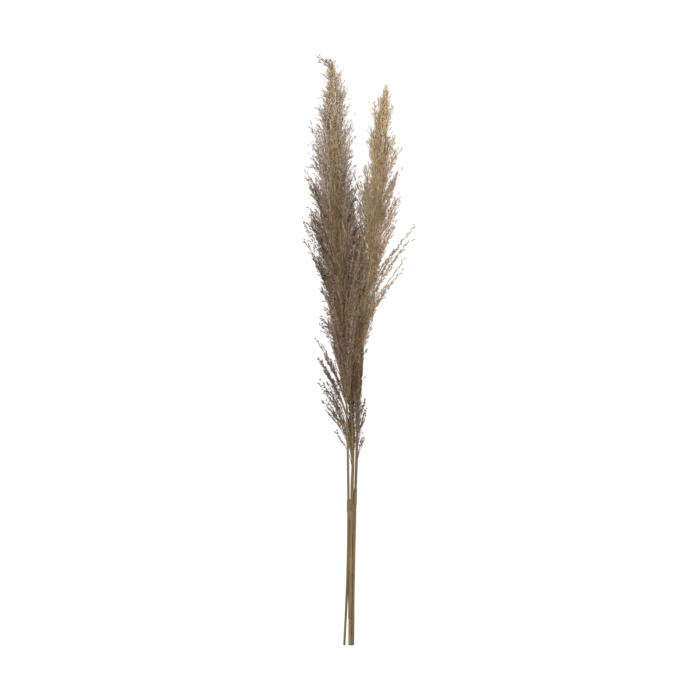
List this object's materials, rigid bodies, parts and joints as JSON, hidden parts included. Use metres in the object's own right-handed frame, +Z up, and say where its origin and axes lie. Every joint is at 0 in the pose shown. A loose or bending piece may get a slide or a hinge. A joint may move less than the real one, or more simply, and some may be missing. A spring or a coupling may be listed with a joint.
{
  "type": "bundle of pampas grass",
  "caption": "Long dried pampas grass stems with soft feathery plumes and loose side branches, lying together as a bundle with their cut ends level.",
  "frame": {"origin": "middle of the bundle's footprint, on the surface it lies on", "axes": "+Y along the stems from the cut ends towards the plume tips, +Z up from the surface, +X towards the plume that lies alone at the side"},
  "size_m": [0.2066, 1.0994, 0.068],
  "materials": {
    "culm": "dry golden-olive cane with a faint satin sheen and lengthwise streaks",
    "sheath": "dry papery leaf sheath with fine ribs and a torn edge",
    "golden_plume": "matte golden-beige seed hairs, silky at the tips",
    "taupe_plume": "matte grey-brown seed hairs"
  },
  "bodies": {
    "root": {"front_culm": "culm", "back_culm": "culm", "right_culm": "culm", "front_sheath": "sheath", "back_sheath": "sheath", "right_sheath": "sheath", "front_plume": "golden_plume", "right_plume": "golden_plume", "back_plume": "taupe_plume", "back_low_branch_1": "taupe_plume", "back_low_branch_2": "taupe_plume", "back_low_branch_3": "taupe_plume", "back_low_branch_4": "taupe_plume", "back_low_branch_5": "taupe_plume", "back_low_branch_6": "taupe_plume", "right_low_branch_1": "taupe_plume", "right_low_branch_2": "taupe_plume", "right_low_branch_3": "taupe_plume", "right_stray_branch_1": "golden_plume", "right_stray_branch_2": "golden_plume", "right_stray_branch_3": "golden_plume", "back_side_branch_1": "taupe_plume", "back_side_branch_2": "taupe_plume", "back_side_branch_3": "taupe_plume", "back_side_branch_4": "taupe_plume", "right_side_branch_1": "golden_plume", "right_side_branch_2": "golden_plume", "front_tip_branch": "taupe_plume"}
  },
  "joints": []
}
